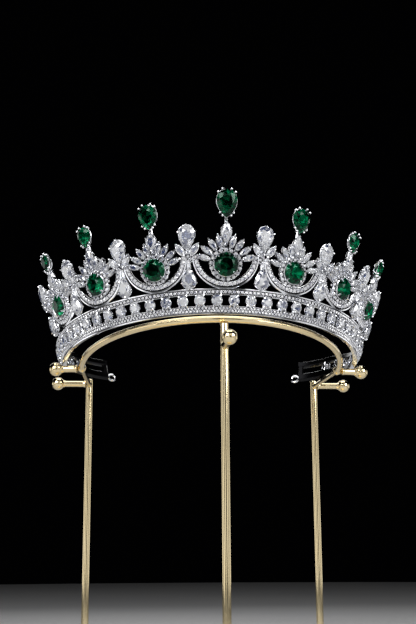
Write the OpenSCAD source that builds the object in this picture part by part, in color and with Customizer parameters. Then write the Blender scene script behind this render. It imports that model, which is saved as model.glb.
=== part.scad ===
/* [Crown plan] */
// Radius of the crown's base line from the front round to the sides
plan_radius = 70; // [66:1:74]
// Radius at which the base line turns in behind the sides
rear_radius = 33; // [30:1:36]
// Length of the base line from the front middle to each end
half_length = 150; // [146:1:152]
// Outward lean of the front, from upright
flare = 19.5; // [16:0.5:23]
// Rise of the base line behind the sides, which clears the stand's arms
rear_rise = 4.3; // [4:0.1:5]
// Distance between the middles of two neighbouring motifs, along the base line
motif_pitch = 27; // [26.5:0.1:27.5]

/* [Band] */
// Height of the pierced band, along its lean
band_height = 10.9; // [10.5:0.1:11.5]
// Height of the lower rail
lower_rail = 3.5; // [3:0.1:3.8]
// Height of the upper rail
upper_rail = 2.7; // [2.4:0.1:3]
// Thickness of the rails from front to back
rail_depth = 2.2; // [2:0.1:2.4]
// Diameter of each round stone in the band
band_stone_d = 4.7; // [4.2:0.1:4.8]
// Distance between the middles of two band stones
band_stone_pitch = 7; // [6.9:0.1:7.1]

/* [Motifs] */
// Diameter of the middle round green stone
emerald_d = 10.4; // [10:0.1:10.5]
// Size of the side motifs, as a share of the middle one
side_share = 0.93; // [0.9:0.01:1]
// Width of the pave ring round a green stone
halo_width = 1.8; // [1.7:0.1:2]
// Radius of a hanging crescent's outer edge
crescent_r = 14.3; // [14.2:0.1:14.5]
// Thickness of the ornament from front to back
ornament_depth = 1.8; // [1.5:0.1:2.2]
// Length of a leaf stone
leaf_length = 6; // [5.6:0.1:6.2]
// Width of a leaf stone
leaf_width = 2.6; // [2.2:0.1:2.8]
// Length of the pointed stone above each green one
top_length = 9.5; // [9:0.1:9.8]
// Width of the pointed stone above each green one
top_width = 4.7; // [4.2:0.1:5]
// Height of the middle green drop
drop_height = 12.2; // [11.8:0.1:12.6]
// Width of the middle green drop
drop_width = 8.9; // [8.6:0.1:9.4]
// Height of the green drops beside the middle one; the outer ones are smaller
side_drop_height = 10.6; // [10:0.1:10.8]
// Width of the green drops beside the middle one; the outer ones are smaller
side_drop_width = 8.5; // [8:0.1:8.8]

/* [Spacers] */
// Height of each upper clear pear
upper_pear_height = 11.1; // [10.8:0.1:12]
// Width of each upper clear pear
upper_pear_width = 7.2; // [7:0.1:7.8]
// Height of each lower clear pear
lower_pear_height = 8.9; // [8.6:0.1:9.3]
// Width of each lower clear pear
lower_pear_width = 6.1; // [5.9:0.1:6.6]

/* [Stand] */
// Height of the pegs' middle line above the floor
peg_height = 165; // [120:1:200]
// Diameter of the horseshoe and the pegs
rod_d = 3; // [2.6:0.1:3.2]
// Diameter of the posts
post_d = 3.6; // [3:0.1:4]
// Diameter of the balls on the pegs
ball_d = 6.5; // [6:0.1:6.8]
// Radius of the horseshoe inside the crown
rail_r = 61; // [60:0.1:61]
// Angle by which the crown's front is raised
crown_tilt = 9; // [8.5:0.1:9.5]
// Radius of the round foot
base_r = 82; // [80:1:95]
// Thickness of the round foot
base_height = 5; // [4:0.5:8]

/* [Hidden] */
gap = 0.12;
seat_drop = 0.36;
drop_seat_depth = ornament_depth - 0.2;
motif_count = 7;
spacer_count = 8;
side_arc = plan_radius * PI / 2;
rise_run = 26;

// Heights along the lean
band_middle = (lower_rail + band_height - upper_rail) / 2;
halo_r = emerald_d / 2 + halo_width;
crescent_sink = 0.3;
crescent_h = band_height + crescent_r - crescent_sink;
crescent_width = 2.3;
crescent_inner_r = crescent_r - crescent_width;
crescent_inner_lift = 1.2;
emerald_h = 20.9;
side_emerald_h = 20.2;
top_h = 13.4;
side_top_h = 12;
side_top_share = 0.86;
junction_h = 24.1;
junction_d = 4.4;
lower_pear_h = band_height + lower_pear_height / 2 + 0.1;
upper_pear_h = 32.4;
outer_pear_h = 30.6;
motif_shift = 0.7;
spacer_shift = 0.9;
spacer_leaf_offset = 3;
spacer_leaf_lean = 34;
spacer_leaf_drop = 5.1;
outer_leaf_drop = 4.4;
spacer_leaf_lift = 0.35;
crossing_step = 0.07;

// Distances in front of the rails' face: the ornament's own face, then the stones' girdles
ornament_front = 0.1;
emerald_out = 1.1;
pear_out = 1;
top_out = 0.88;
leaf_out = 0.66;
spacer_leaf_out = leaf_out + spacer_leaf_lift + crossing_step;
band_stone_out = 0.2;

// Distances that keep the backs of crossing parts apart
ring_back = 0.13;
ring_front = 0.11;
crescent_back = 0.26;
leaf_seat_back = 0.1;
junction_back = 0.05;

// Stone proportions, as shares of the width
table_share = 0.56;
crown_share = 0.16;
pavilion_share = 0.4;
girdle = 0.25;
seat_inner = 0.95;
seat_outer = 1.07;

// Leaves of a fan: angle from upright and distance from the middle of the green stone
fan_angles = [16.5, 35, 55, 74];
fan_reach = 9.9;
// Reach of a leaf's bar out of the leaf's middle, and in from it on a spacer, as shares of its length
leaf_seat_far = 0.42;
leaf_seat_near = 0.75;
ring_overlap = 0.6;

// How strongly a green drop narrows towards its point; a clear pear has 1
drop_narrowing = 0.6;

// Middle height of each drop and the size of the side ones, from the middle motif outward
drop_heights = [46.6, 42.8, 41.6, 41];
drop_shares = [1, 1, 0.86, 0.78];

band_stones_a_side = floor((half_length - 4) / band_stone_pitch);
crown_seat = rod_d / 2 + gap;
crown_back = 4.8;
rail_back = 0.8;
rail_side_z = 0.2;
rail_front_z = 11.6;
rail_tilt = asin((rail_front_z - rail_side_z) / rail_r);
front_post_y = rail_back - rail_r * cos(rail_tilt);
rear_post_x = 58.3;
rear_post_y = 46.6;
rear_post_top = 2.5;
arm_d = 2.2;
arm_rear_z = -0.4;
side_peg_y = 3;
rear_peg_y = rear_post_y;
knuckle_r = 2;
front_ball_y = -78.4;
side_ball_x = 73.2;
rear_ball_x = 74.2;

motifs = [for (i = [1 : motif_count]) i];
spacers = [for (i = [1 : spacer_count]) i];

silver = [0.82, 0.83, 0.85];
gold = [0.83, 0.70, 0.42];
green = [0.02, 0.33, 0.14];
clear = [0.86, 0.90, 0.98];

// The crown's surface: u runs along the base line, h up the lean, d out of the front

function turn_at(u) = abs(u) <= side_arc
    ? u / plan_radius * 180 / PI
    : sign(u) * (90 + (abs(u) - side_arc) / rear_radius * 180 / PI);
function outward_at(u) = [sin(turn_at(u)), -cos(turn_at(u))];
function base_at(u) = abs(u) <= side_arc
    ? plan_radius * outward_at(u)
    : [sign(u) * (plan_radius - rear_radius), 0] + rear_radius * outward_at(u);
function rise_share(u) = max(0, min(1, (abs(u) - side_arc) / rise_run));
function rise_at(u) = rear_rise * rise_share(u) * rise_share(u) * (3 - 2 * rise_share(u));
function point_at(u, h, d) =
    let (out = (h + rise_at(u)) * sin(flare) + d * cos(flare),
         flat = base_at(u) + outward_at(u) * out)
    [flat[0], flat[1], (h + rise_at(u)) * cos(flare) - d * sin(flare)];
// Base line position of a point that lies x to the side of u0 at height h
function beside(u0, x, h) = u0 + x * plan_radius / (plan_radius + h * sin(flare));

// Places a flat piece on the surface, with its own x along the band and y up the lean
module on_surface(u, h, d = 0, lean = 0) {
    out = outward_at(u);
    place = point_at(u, h, d);
    multmatrix([
        [-out[1], -out[0] * -sin(flare), out[0] * cos(flare), place[0]],
        [out[0], out[1] * sin(flare), out[1] * cos(flare), place[1]],
        [0, cos(flare), -sin(flare), place[2]],
        [0, 0, 0, 1]
    ])
        rotate([0, 0, -lean]) children();
}

function motif_u(i) = let (k = i - (motif_count + 1) / 2) k * motif_pitch + sign(k) * motif_shift;
function spacer_u(i) = let (k = i - (spacer_count + 1) / 2) k * motif_pitch + sign(k) * spacer_shift;
function motif_rank(i) = abs(i - (motif_count + 1) / 2);
function motif_h(i) = motif_rank(i) == 0 ? emerald_h : side_emerald_h;
function motif_share(i) = motif_rank(i) == 0 ? 1 : side_share;
function top_rise(i) = motif_rank(i) == 0 ? top_h : side_top_h;
function top_share(i) = motif_rank(i) == 0 ? 1 : side_top_share;
function drop_w(i) = motif_rank(i) == 0 ? drop_width : side_drop_width * drop_shares[motif_rank(i)];
function drop_h(i) = motif_rank(i) == 0 ? drop_height : side_drop_height * drop_shares[motif_rank(i)];
function is_middle(i) = abs(i - (spacer_count + 1) / 2) < 1;
function pear_h(i) = is_middle(i) ? upper_pear_h : outer_pear_h;
function leaf_h(i) = pear_h(i) - (is_middle(i) ? spacer_leaf_drop : outer_leaf_drop);

// Outlines of the cut stones, as lists of points

emerald_sides = 12;
function round_outline(d, sides) = [for (i = [0 : sides - 1])
    d / 2 * [cos((i + 0.5) * 360 / sides), sin((i + 0.5) * 360 / sides)]];
// A teardrop with its point down; a lower narrowing makes it fuller towards the point
function pear_peak(narrowing) =
    let (widest = acos(sqrt(1 / (2 + narrowing))))
    sin(2 * widest) * pow(sin(widest), narrowing);
function pear_outline(width, height, narrowing = 1, sides = 10) = [for (i = [0 : sides - 1])
    let (t = i * 360 / sides)
    [width / 2 / pear_peak(narrowing) * sin(t) * pow(sin(t / 2), narrowing), -height / 2 * cos(t)]];
function drop_outline(i) = pear_outline(drop_w(i), drop_h(i), drop_narrowing);
// A boat shape with a point at each end; steps are its corners, as shares of the half length
main_steps = [-1, -0.55, 0, 0.55];
small_steps = [-1, -0.4, 0.4];
function leaf_outline(width, length, steps) = concat(
    [for (s = steps) [width / 2 * (1 - s * s), length / 2 * s]],
    [for (s = steps) [-width / 2 * (1 - s * s), -length / 2 * s]]
);

// Joins level outlines into one closed solid over a point; levels holds [outline, z] from the bottom up
module gem(depth, levels) {
    sides = len(levels[0][0]);
    top = len(levels) - 1;
    corners = [for (level = levels) for (p = level[0]) [p[0], p[1], level[1]]];
    culet = len(corners);
    pavilion = [for (i = [0 : sides - 1]) [culet, i, (i + 1) % sides]];
    table = [for (i = [sides - 1 : -1 : 0]) top * sides + i];
    walls = [for (l = [0 : top - 1]) for (i = [0 : sides - 1])
        let (j = (i + 1) % sides)
        [l * sides + i, (l + 1) * sides + i, (l + 1) * sides + j, l * sides + j]];
    polyhedron(concat(corners, [[0, 0, -depth]]), concat(pavilion, walls, [table]));
}

// A cut stone with culet, girdle and table; its girdle's lower edge is at z = 0
module cut_stone(outline, width) {
    gem(pavilion_share * width, [
        [outline, 0],
        [outline, girdle],
        [outline * table_share, girdle + crown_share * width]
    ]);
}

// A small cut stone with a sharp girdle
module small_stone(outline, width) {
    gem(pavilion_share * width, [
        [outline, 0],
        [outline * table_share, crown_share * width]
    ]);
}

// An open seat under a stone's girdle, down to the back of the ornament
module seat(outline, out, depth = ornament_depth) {
    translate([0, 0, -depth])
        linear_extrude(depth + out - seat_drop)
            difference() {
                polygon(outline * seat_outer);
                polygon(outline * seat_inner);
            }
}

// A rail between two heights of the band, which bends midway between the band's stones
module rail(h_low, h_high, d_back, d_front) {
    middle = [for (i = [-band_stones_a_side : band_stones_a_side]) i * band_stone_pitch];
    stations = concat([-half_length], middle, [half_length]);
    swept_mesh([for (u = stations)
        [point_at(u, h_low, d_back), point_at(u, h_low, d_front),
         point_at(u, h_high, d_front), point_at(u, h_high, d_back)]]);
}

// Joins rings of four points into one closed bar, with the walls' diagonals in a zigzag
module swept_mesh(rings) {
    last = len(rings) - 1;
    points = [for (ring = rings) for (p = ring) p];
    walls = [for (s = [0 : last - 1]) for (i = [0 : 3])
        let (j = (i + 1) % 4,
             near = 4 * s,
             far = 4 * s + 4)
        each s % 2 == 1
            ? [[near + i, far + j, far + i], [near + i, near + j, far + j]]
            : [[near + i, near + j, far + i], [near + j, far + j, far + i]]];
    caps = [[0, 2, 1], [0, 3, 2],
            [4 * last, 4 * last + 1, 4 * last + 2], [4 * last, 4 * last + 2, 4 * last + 3]];
    polyhedron(points, concat(walls, caps));
}

// Rails of the band, the strut behind each of its stones and its closed ends

module band() {
    rail(0, lower_rail, -rail_depth, 0);
    rail(band_height - upper_rail, band_height, -rail_depth, 0);
    for (side = [-1, 1]) {
        for (i = [0 : band_stones_a_side - 1])
            band_strut(side * (i + 0.5) * band_stone_pitch);
        end_plate(side);
        end_loop(side);
    }
}

module end_plate(side) {
    width = 2.2;
    inset = 0.35;
    on_surface(side * (half_length - 1.6), band_middle, -rail_depth / 2)
        cube([width, band_height - 2 * inset, rail_depth - 2 * inset], center = true);
}

module band_strut(u) {
    width = 1.8;
    reach = band_height / 4 + 0.4;
    on_surface(u, band_middle, -rail_depth)
        translate([-width / 2, -reach, 0.02])
            cube([width, 2 * reach, 0.35]);
}

module end_loop(side) {
    outer = 2.3;
    inner = 1.35;
    depth = 1.2;
    on_surface(side * half_length, lower_rail - outer - 0.1, -rail_depth / 2)
        translate([side * 2, 0, -depth / 2])
            linear_extrude(depth)
                difference() {
                    circle(outer, $fn = 14);
                    circle(inner, $fn = 14);
                }
}

// One motif: ring round the green stone, crescent, fan of leaf seats, pointed seat and drop seat

module motif(i) {
    u = motif_u(i);
    h = motif_h(i);
    share = motif_share(i);
    top_half = top_length / 2 * top_share(i);
    halo(u, h, share);
    crescent(u);
    for (angle = fan_angles)
        for (side = [-1, 1])
            on_surface(u, h, 0, side * angle)
                leaf_seat(halo_r * share - ring_overlap, fan_reach * share + leaf_length * leaf_seat_far);
    on_surface(u, h)
        translate([0, top_rise(i), 0])
            seat(leaf_outline(top_width, top_length * top_share(i), main_steps), top_out);
    stem(u, h + emerald_d / 2 * share + 0.8, h + top_rise(i) - top_half + 0.3);
    stem(u, h + top_rise(i) + top_half - 0.1, drop_tip(i) + 0.2);
    on_surface(u, drop_heights[motif_rank(i)])
        seat(drop_outline(i), pear_out, drop_seat_depth);
}

function drop_tip(i) = drop_heights[motif_rank(i)] - drop_h(i) / 2;

// A ring with a raised inner lip, on which the stone's girdle sits
module halo(u, h, share) {
    sides = emerald_sides;
    inner = emerald_d / 2 * share;
    back = -ornament_depth - ring_back;
    front = ornament_front + ring_front;
    profile = [
        [inner * seat_inner, back], [halo_r * share, back], [halo_r * share, front],
        [inner * seat_outer, front], [inner * seat_outer, emerald_out - seat_drop],
        [inner * seat_inner, emerald_out - seat_drop]
    ];
    on_surface(u, h)
        rotate([0, 0, 180 / sides])
            rotate_extrude($fn = sides) polygon(profile);
}

// The crescent is thickest at the bottom, where the ring stands on it
module crescent(u) {
    steps = 10;
    reach = 87;
    back = -ornament_depth + crescent_back;
    rings = [for (i = [0 : steps])
        let (a = -reach + 2 * reach * i / steps,
             x_out = crescent_r * sin(a),
             h_out = crescent_h - crescent_r * cos(a),
             x_in = crescent_inner_r * sin(a),
             h_in = crescent_h + crescent_inner_lift - crescent_inner_r * cos(a))
        [point_at(beside(u, x_out, h_out), h_out, back),
         point_at(beside(u, x_out, h_out), h_out, ornament_front),
         point_at(beside(u, x_in, h_in), h_in, ornament_front),
         point_at(beside(u, x_in, h_in), h_in, back)]];
    swept_mesh(rings);
}

// A bar under a leaf stone, from the ring or junction out to the leaf's far end
module leaf_seat(from, to) {
    width = 1.3;
    top = leaf_out - pavilion_share * leaf_width - gap;
    translate([-width / 2, from, -ornament_depth + leaf_seat_back])
        cube([width, to - from, ornament_depth - leaf_seat_back + top]);
}

// A bar that tapers upward
module stem(u, h_low, h_high) {
    low = [1.9, 0.4, 1.6];
    high = [1.3, 0.4, 1.2];
    middle = -0.85;
    hull() {
        on_surface(u, h_low, middle) cube(low, center = true);
        on_surface(u, h_high, middle) cube(high, center = true);
    }
}

// One spacer: lower pear seat, junction of the crescents, two leaf seats and upper pear seat

module spacer(i) {
    u = spacer_u(i);
    top = pear_h(i);
    on_surface(u, lower_pear_h)
        seat(pear_outline(lower_pear_width, lower_pear_height) * -1, pear_out);
    on_surface(u, top)
        seat(pear_outline(upper_pear_width, upper_pear_height), pear_out);
    stem(u, lower_pear_h + lower_pear_height / 2 - 0.2, top - upper_pear_height / 2 + 0.3);
    on_surface(u, junction_h, -ornament_depth + junction_back)
        linear_extrude(ornament_depth)
            polygon(round_outline(junction_d, 6));
    for (side = [-1, 1])
        on_surface(u, leaf_h(i), spacer_leaf_lift + side * crossing_step / 2)
            translate([side * spacer_leaf_offset, 0, 0])
                rotate([0, 0, -side * spacer_leaf_lean])
                    leaf_seat(-leaf_length * leaf_seat_near, leaf_length * leaf_seat_far);
}

module tiara_frame() {
    color(silver) on_stand() {
        band();
        for (i = motifs) motif(i);
        for (i = spacers) spacer(i);
    }
}

// Stones

module round_emerald(i) {
    d = emerald_d * motif_share(i);
    color(green) on_stand()
        on_surface(motif_u(i), motif_h(i), emerald_out)
            cut_stone(round_outline(d, emerald_sides), d);
}

module drop_emerald(i) {
    color(green) on_stand()
        on_surface(motif_u(i), drop_heights[motif_rank(i)], pear_out)
            cut_stone(drop_outline(i), drop_w(i));
}

module top_marquise(i) {
    outline = leaf_outline(top_width, top_length * top_share(i), main_steps);
    color(clear) on_stand()
        on_surface(motif_u(i), motif_h(i))
            translate([0, top_rise(i), top_out])
                cut_stone(outline, top_width);
}

module upper_pear(i) {
    color(clear) on_stand()
        on_surface(spacer_u(i), pear_h(i), pear_out)
            cut_stone(pear_outline(upper_pear_width, upper_pear_height), upper_pear_width);
}

module lower_pear(i) {
    color(clear) on_stand()
        on_surface(spacer_u(i), lower_pear_h, pear_out)
            cut_stone(pear_outline(lower_pear_width, lower_pear_height) * -1, lower_pear_width);
}

module leaf_stones() {
    outline = leaf_outline(leaf_width, leaf_length, small_steps);
    color(clear) on_stand() {
        for (i = motifs)
            for (angle = fan_angles)
                for (side = [-1, 1])
                    on_surface(motif_u(i), motif_h(i), leaf_out, side * angle)
                        translate([0, fan_reach * motif_share(i), 0])
                            small_stone(outline * motif_share(i), leaf_width);
        for (i = spacers)
            for (side = [-1, 1])
                on_surface(spacer_u(i), leaf_h(i), spacer_leaf_out)
                    translate([side * spacer_leaf_offset, 0, 0])
                        rotate([0, 0, -side * spacer_leaf_lean])
                            small_stone(outline, leaf_width);
    }
}

module band_stones() {
    color(clear) on_stand()
        for (side = [-1, 1])
            for (i = [0 : band_stones_a_side - 1])
                on_surface(side * (i + 0.5) * band_stone_pitch, band_middle, band_stone_out)
                    small_stone(round_outline(band_stone_d, 8), band_stone_d);
}

// The stand; its own middle height is the line of the pegs

module on_stand() {
    translate([0, crown_back, peg_height + crown_seat])
        rotate([-crown_tilt, 0, 0]) children();
}

// Turns the z axis to point from one place to another
module along(from, to) {
    run = to - from;
    translate(from)
        rotate([0, acos(run[2] / norm(run)), atan2(run[1], run[0])]) children();
}

// A round rod between two points
module rod(from, to, d = rod_d) {
    along(from, to) cylinder(h = norm(to - from), d = d, $fn = 48);
}

module rest_rail() {
    color(gold) translate([0, 0, peg_height]) {
        translate([0, rail_back, rail_side_z])
            rotate([-rail_tilt, 0, 0])
                rotate([0, 0, 180])
                    rotate_extrude(angle = 180, $fn = 96)
                        translate([rail_r, 0]) circle(d = rod_d, $fn = 32);
        for (side = [-1, 1]) {
            corner = [side * rail_r, rail_back, rail_side_z];
            finish = [side * (rear_post_x + 0.2), rear_post_y - post_d / 2 - gap, arm_rear_z];
            translate(corner) sphere(r = knuckle_r, $fn = 48);
            rod(corner, finish, arm_d);
        }
    }
}

// An upright rod with a turned foot
module post(x, y, top) {
    foot = 3;
    foot_r = 1.25 * post_d;
    color(gold) translate([x, y, base_height + gap]) {
        cylinder(h = foot, r = foot_r, $fn = 48);
        cylinder(h = peg_height + top - base_height - gap, d = post_d, $fn = 48);
    }
}

// A short rod with a ball on its far end
module peg(from, to) {
    color(gold) translate([0, 0, peg_height]) {
        rod(from, to);
        along(from, to)
            translate([0, 0, norm(to - from)]) sphere(d = ball_d, $fn = 48);
    }
}

module side_peg(side) {
    peg([side * (rail_r + knuckle_r + 2 * gap), rail_back, 0], [side * side_ball_x, side_peg_y, 0]);
}

module rear_peg(side) {
    peg([side * (rear_post_x + post_d / 2 + gap), rear_peg_y, 0], [side * rear_ball_x, rear_peg_y, 0]);
}

module front_peg() {
    peg([0, front_post_y - post_d / 2 - gap, 0], [0, front_ball_y, 0]);
}

module front_post() {
    post(0, front_post_y, rail_front_z - rod_d / 2 - 2 * gap);
}

module rear_post(side) {
    post(side * rear_post_x, rear_post_y, rear_post_top);
}

module stand_base() {
    chamfer = 1.2;
    color(gold) {
        cylinder(h = base_height - chamfer, r = base_r, $fn = 96);
        translate([0, 0, base_height - chamfer])
            cylinder(h = chamfer, r1 = base_r, r2 = base_r - chamfer, $fn = 96);
    }
}

tiara_frame();
band_stones();
leaf_stones();
for (i = motifs) {
    round_emerald(i);
    drop_emerald(i);
    top_marquise(i);
}
for (i = spacers) {
    upper_pear(i);
    lower_pear(i);
}
rest_rail();
front_post();
rear_post(-1);  // rear_post_left
rear_post(1);  // rear_post_right
front_peg();
side_peg(-1);  // side_peg_left
side_peg(1);  // side_peg_right
rear_peg(-1);  // rear_peg_left
rear_peg(1);  // rear_peg_right
stand_base();
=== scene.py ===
"""Bridal crown on a wire stand: fine metalwork, cut stones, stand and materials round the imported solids.

The crown lies on a leaning surface: u runs along its base line, h up the lean and d out of the front.
Lengths are in millimetres until a mesh is made.
"""
import math

import bpy
import numpy as np
from mathutils import Matrix, Vector


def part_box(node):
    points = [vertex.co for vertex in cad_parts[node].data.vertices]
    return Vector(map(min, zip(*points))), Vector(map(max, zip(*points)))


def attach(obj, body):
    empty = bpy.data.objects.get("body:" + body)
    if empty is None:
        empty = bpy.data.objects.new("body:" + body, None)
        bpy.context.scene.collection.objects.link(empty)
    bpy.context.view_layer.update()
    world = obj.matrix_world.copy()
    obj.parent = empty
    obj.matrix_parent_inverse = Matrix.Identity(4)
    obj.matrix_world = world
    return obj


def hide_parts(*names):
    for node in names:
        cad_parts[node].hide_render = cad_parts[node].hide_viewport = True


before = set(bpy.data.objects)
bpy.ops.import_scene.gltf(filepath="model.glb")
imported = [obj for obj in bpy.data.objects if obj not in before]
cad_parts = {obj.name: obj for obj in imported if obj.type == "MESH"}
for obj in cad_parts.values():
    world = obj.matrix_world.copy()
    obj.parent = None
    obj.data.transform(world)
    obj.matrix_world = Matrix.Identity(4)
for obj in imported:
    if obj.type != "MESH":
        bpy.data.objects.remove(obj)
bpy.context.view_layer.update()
MM = 0.001


def node_box(node):
    """Lowest and highest corner of a solid, in millimetres."""
    low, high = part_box(node)
    return np.array(low) / MM, np.array(high) / MM


# Crown plan
PLAN_RADIUS = 70.0
REAR_RADIUS = 33.0
HALF_LENGTH = 150.0
FLARE = math.radians(19.5)
REAR_RISE = 4.3
RISE_RUN = 26.0
SIDE_ARC = PLAN_RADIUS * math.pi / 2
CROWN_TILT = math.radians(9)
CROWN_BACK = 4.8
SEAT_GAP = 0.12

# Band
BAND_HEIGHT = 10.9
LOWER_RAIL = 3.5
UPPER_RAIL = 2.7
RAIL_DEPTH = 2.2
BAND_MIDDLE = (LOWER_RAIL + BAND_HEIGHT - UPPER_RAIL) / 2
BAND_STONE_D = 4.7
BAND_STONE_PITCH = 7.0
BAND_STONES_A_SIDE = int((HALF_LENGTH - 4) / BAND_STONE_PITCH)
BAND_STONE_OUT = 0.2

# Motifs
MOTIF_PITCH = 27.0
MOTIF_SHIFT, SPACER_SHIFT = 0.7, 0.9
MOTIFS, MIDDLE_MOTIF = range(1, 8), 4
EMERALD_D = 10.4
EMERALD_H, SIDE_EMERALD_H = 20.9, 20.2
EMERALD_OUT = 1.1
SIDE_SHARE = 0.93
HALO_R = 7.0
CRESCENT_R = 14.3
CRESCENT_INNER_R = CRESCENT_R - 2.3
CRESCENT_LIFT = 1.2
CRESCENT_H = BAND_HEIGHT + CRESCENT_R - 0.3
ORNAMENT_DEPTH = 1.8
FAN_ANGLES = (16.5, 35, 55, 74)
FAN_REACH = 9.9
LEAF_LENGTH, LEAF_WIDTH, LEAF_OUT = 6.0, 2.6, 0.66
TOP_LENGTH, TOP_WIDTH, TOP_OUT = 9.5, 4.7, 0.88
TOP_RISE, SIDE_TOP_RISE, SIDE_TOP_SHARE = 13.4, 12.0, 0.86
DROP, SIDE_DROP, DROP_SHARES = (8.9, 12.2), (8.5, 10.6), (1, 1, 0.86, 0.78)
DROP_MIDDLES, DROP_NARROWING = (46.6, 42.8, 41.6, 41), 0.6
PEAR_OUT = 1.0

# Spacers
SPACERS, MIDDLE_OF_SPACERS = range(1, 9), 4.5
UPPER_PEAR = (7.2, 11.1)
LOWER_PEAR = (6.1, 8.9)
LOWER_PEAR_H = BAND_HEIGHT + LOWER_PEAR[1] / 2 + 0.1
UPPER_PEAR_H, OUTER_PEAR_H = 32.4, 30.6
JUNCTION_H = 24.1
SPACER_LEAF_OFFSET, SPACER_LEAF_LEAN = 3.0, 34
SPACER_LEAF_DROP, OUTER_LEAF_DROP = 5.1, 4.4
SPACER_LEAF_OUT = LEAF_OUT + 0.42

# Stone proportions, as shares of the width; the girdle is a height
TABLE_SHARE = 0.56
CROWN_SHARE = 0.16
PAVILION_SHARE = 0.4
LOWER_SHARE = 0.26
GIRDLE = 0.25

# The stand, read from its solids
BALL_D = (node_box("side_peg_right")[1] - node_box("side_peg_right")[0])[2]
PEG_HEIGHT = node_box("side_peg_right")[0][2] + BALL_D / 2
FOOT_R = (node_box("rear_post_right")[1] - node_box("rear_post_right")[0])[0] / 2
ROD_D, POST_D = FOOT_R / 1.5, FOOT_R / 1.25
BASE_R = node_box("stand_base")[1][0]
BASE_HEIGHT = node_box("stand_base")[1][2]
RAIL_R, RAIL_BACK, RAIL_SIDE_Z, RAIL_FRONT_Z = 61.0, 0.8, 0.2, 11.6
RAIL_TILT = math.asin((RAIL_FRONT_Z - RAIL_SIDE_Z) / RAIL_R)
ARM_D, ARM_REAR_Z, KNUCKLE_R = 2.2, -0.4, 2.0
REAR_POST_X, REAR_POST_Y = 58.3, 46.6
FRONT_POST_Y = RAIL_BACK - RAIL_R * math.cos(RAIL_TILT)
SIDE_BALL, REAR_BALL_X, FRONT_BALL_Y = (73.2, 3.0), 74.2, -78.4

# Places on the crown's surface


def turned(angle_x, move):
    """A turn about the x axis, then a move, as a 4 x 4 matrix."""
    c, s = math.cos(angle_x), math.sin(angle_x)
    return np.array([[1, 0, 0, move[0]], [0, c, -s, move[1]], [0, s, c, move[2]], [0, 0, 0, 1.0]])


ON_STAND = turned(-CROWN_TILT, (0, CROWN_BACK, PEG_HEIGHT + ROD_D / 2 + SEAT_GAP))


def turn_at(u):
    """Direction in which the crown faces at u, in radians from the front."""
    u = np.asarray(u, float)
    behind = np.pi / 2 + (np.abs(u) - SIDE_ARC) / REAR_RADIUS
    return np.where(np.abs(u) <= SIDE_ARC, u / PLAN_RADIUS, np.sign(u) * behind)


def rise_at(u):
    """Rise of the base line behind the sides."""
    share = np.clip((np.abs(u) - SIDE_ARC) / RISE_RUN, 0, 1)
    return REAR_RISE * share * share * (3 - 2 * share)


def surface(u, h, d):
    """World places of surface coordinates, which may be arrays."""
    u, h, d = np.broadcast_arrays(np.asarray(u, float), h, d)
    turn = turn_at(u)
    out_x, out_y = np.sin(turn), -np.cos(turn)
    front = np.abs(u) <= SIDE_ARC
    radius = np.where(front, PLAN_RADIUS, REAR_RADIUS)
    shift = np.where(front, 0, np.sign(u) * (PLAN_RADIUS - REAR_RADIUS))
    lifted = h + rise_at(u)
    out = radius + lifted * math.sin(FLARE) + d * math.cos(FLARE)
    level = lifted * math.cos(FLARE) - d * math.sin(FLARE)
    local = np.stack([shift + out_x * out, out_y * out, level, np.ones_like(out)], axis=-1)
    return (local @ ON_STAND.T)[..., :3]


def beside(u0, x, h):
    """Base line position of a point that lies x to the side of u0 at height h."""
    return u0 + np.asarray(x) * PLAN_RADIUS / (PLAN_RADIUS + np.asarray(h) * math.sin(FLARE))


def lean_matrix(degrees):
    """A turn in the surface's own plane; a positive one leans to the right."""
    c, s = math.cos(math.radians(degrees)), math.sin(math.radians(degrees))
    return np.array([[c, s, 0, 0], [-s, c, 0, 0], [0, 0, 1, 0], [0, 0, 0, 1.0]])


def moved(x, y=0.0, z=0.0):
    """A move without a turn, as a 4 x 4 matrix."""
    out = np.eye(4)
    out[:3, 3] = (x, y, z)
    return out


def place(u, h, d=0.0, lean=0.0):
    """Matrix of a flat piece on the surface, with x along the band, y up the lean and z outward."""
    turn = float(turn_at(u))
    out_x, out_y = math.sin(turn), -math.cos(turn)
    s, c = math.sin(FLARE), math.cos(FLARE)
    spot = np.eye(4)
    spot[:3, 0] = (-out_y, out_x, 0)
    spot[:3, 1] = (out_x * s, out_y * s, c)
    spot[:3, 2] = (out_x * c, out_y * c, -s)
    spot = ON_STAND @ spot
    spot[:3, 3] = surface(u, h, d)
    return spot @ lean_matrix(lean)


# Measures of motif i and spacer i, which are counted from the left


def rank(i):
    """Number of steps from the middle motif."""
    return abs(i - MIDDLE_MOTIF)


def motif_u(i):
    """Base line position of a motif."""
    steps = i - MIDDLE_MOTIF
    return steps * MOTIF_PITCH + np.sign(steps) * MOTIF_SHIFT


def motif_h(i):
    """Height of a motif's round green stone."""
    return SIDE_EMERALD_H if rank(i) else EMERALD_H


def motif_place(i, d=0.0, lean=0.0):
    """Matrix at the middle of a motif's round stone."""
    return place(motif_u(i), motif_h(i), d, lean)


def motif_share(i):
    """Size of a motif, as a share of the middle one."""
    return SIDE_SHARE if rank(i) else 1.0


def top_rise(i):
    """Distance from the round stone's middle up to the pointed stone's."""
    return SIDE_TOP_RISE if rank(i) else TOP_RISE


def top_share(i):
    """Length of the pointed stone, as a share of the middle one's."""
    return SIDE_TOP_SHARE if rank(i) else 1.0


def drop_size(i):
    """Width and height of the green drop."""
    return np.array(SIDE_DROP) * DROP_SHARES[rank(i)] if rank(i) else np.array(DROP)


def spacer_u(i):
    """Base line position of a spacer."""
    steps = i - MIDDLE_OF_SPACERS
    return steps * MOTIF_PITCH + np.sign(steps) * SPACER_SHIFT


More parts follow.
